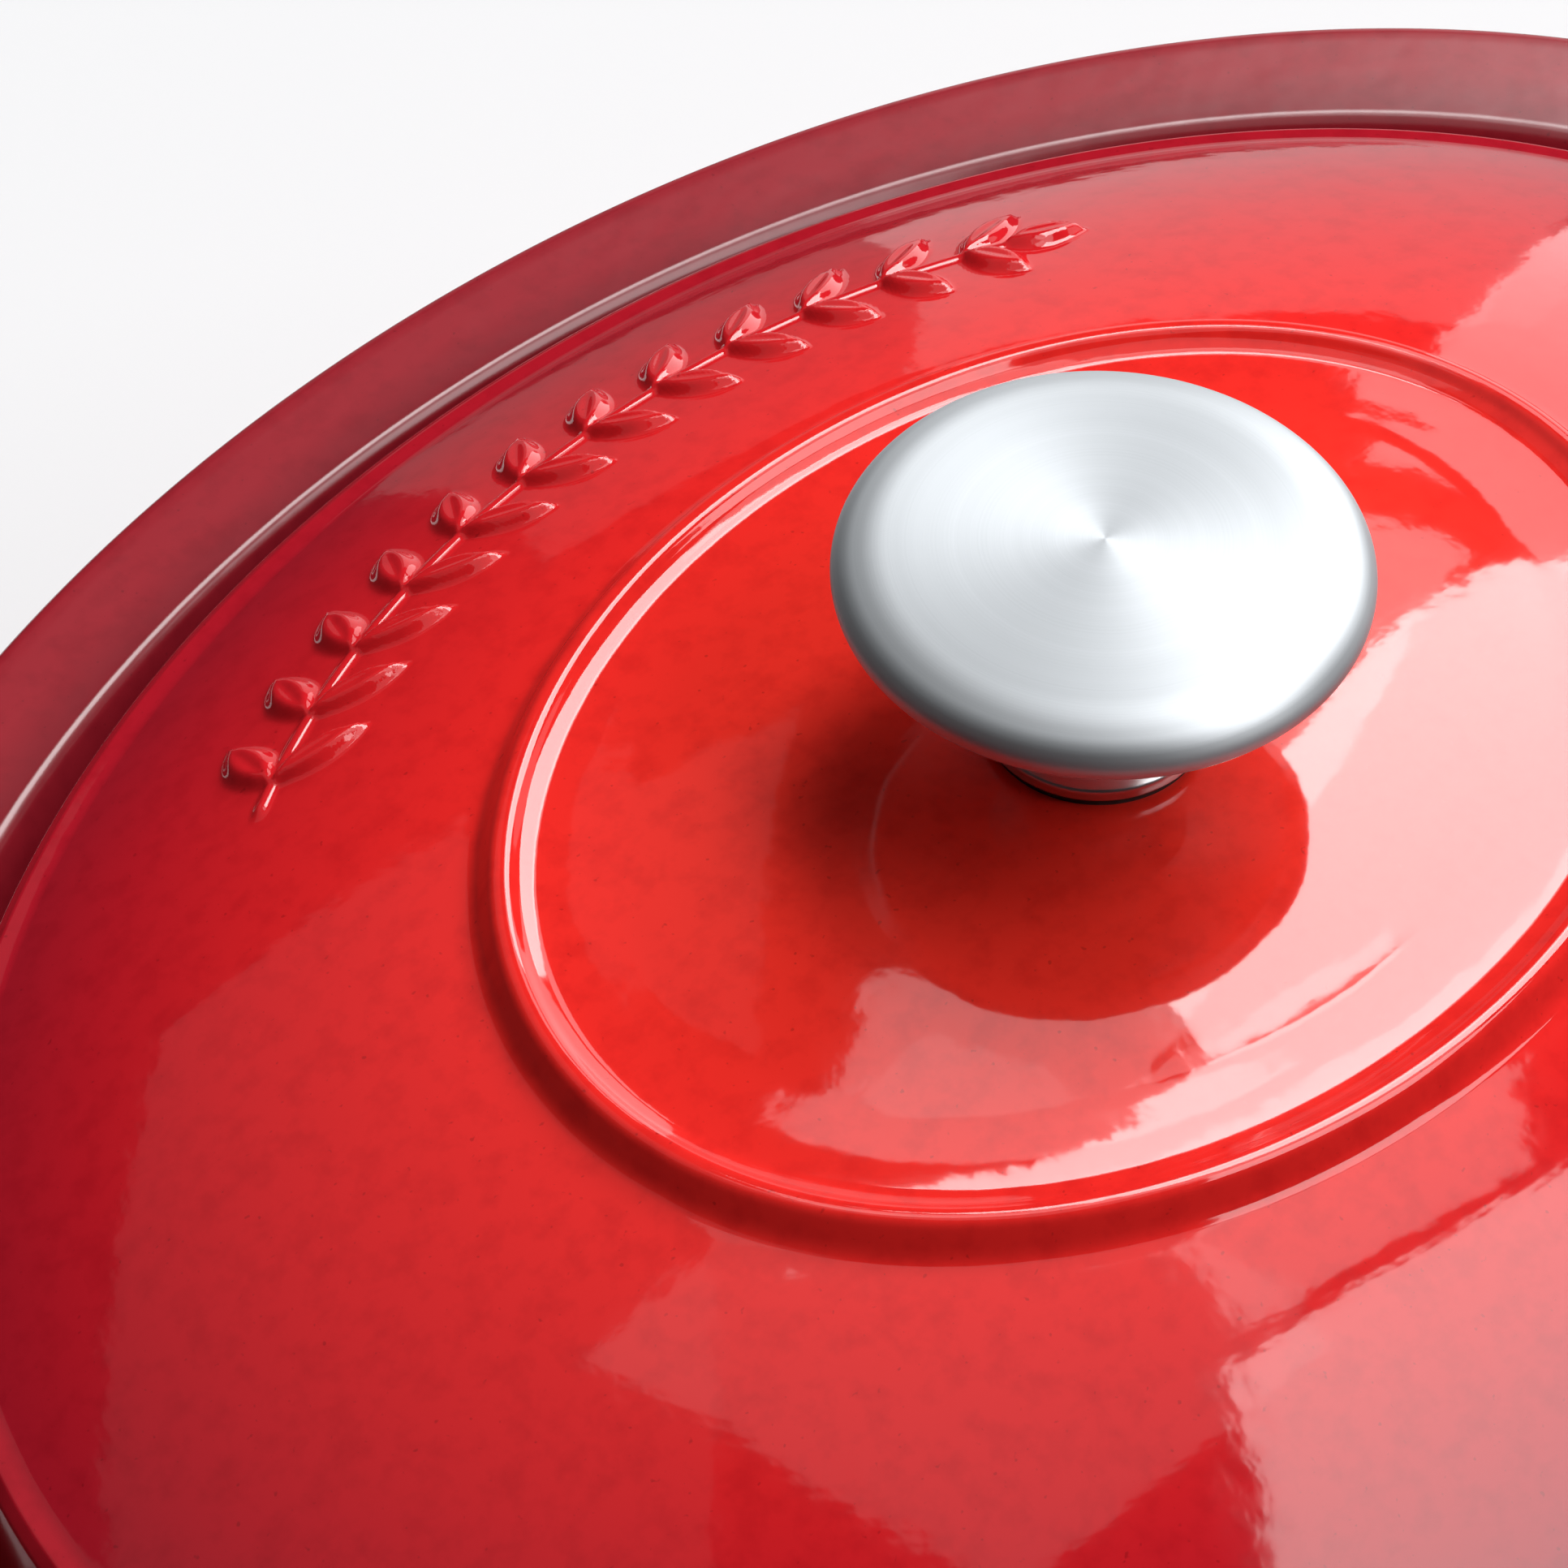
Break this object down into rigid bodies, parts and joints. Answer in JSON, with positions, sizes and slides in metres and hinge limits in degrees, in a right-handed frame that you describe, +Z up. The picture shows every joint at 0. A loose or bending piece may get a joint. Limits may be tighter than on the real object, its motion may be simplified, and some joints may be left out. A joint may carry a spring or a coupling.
{
  "type": "oval dutch oven",
  "caption": "Oval enamelled cast iron dutch oven with cast loop handles and a domed lift-off lid with a screwed-on steel knob.",
  "frame": {"origin": "centre of the flat base, on the surface that the pot stands on", "axes": "+X along the oval's long axis through both handles, +Y across it, +Z up through the knob"},
  "size_m": [0.366, 0.2144, 0.1677],
  "materials": {
    "red_enamel": "glossy red vitreous enamel fused on the pot casting",
    "red_enamel_lid": "glossy red vitreous enamel fused on the lid casting, wine red at the rim",
    "cream_enamel": "glossy cream vitreous enamel",
    "brushed_knob_steel": "turned, fine concentric brushing",
    "satin_steel": "satin stainless steel",
    "gasket": "matt heatproof silicone",
    "zinc_steel": "bright stainless fastener"
  },
  "bodies": {
    "pot": {"pot_body": "red_enamel", "pot_enamel_lining": "cream_enamel"},
    "lid": {"lid_body": "red_enamel_lid", "lid_enamel_lining": "cream_enamel", "knob_cap": "brushed_knob_steel", "knob_underpan": "satin_steel", "knob_stem": "satin_steel", "knob_gasket": "gasket", "flat_washer": "zinc_steel", "spring_washer": "zinc_steel", "knob_screw": "zinc_steel"}
  },
  "joints": [
    {"name": "lid_lift", "type": "slide", "parent": "pot", "child": "lid", "axis": [0, 0, 1], "range_m": [0, 0.15]}
  ]
}
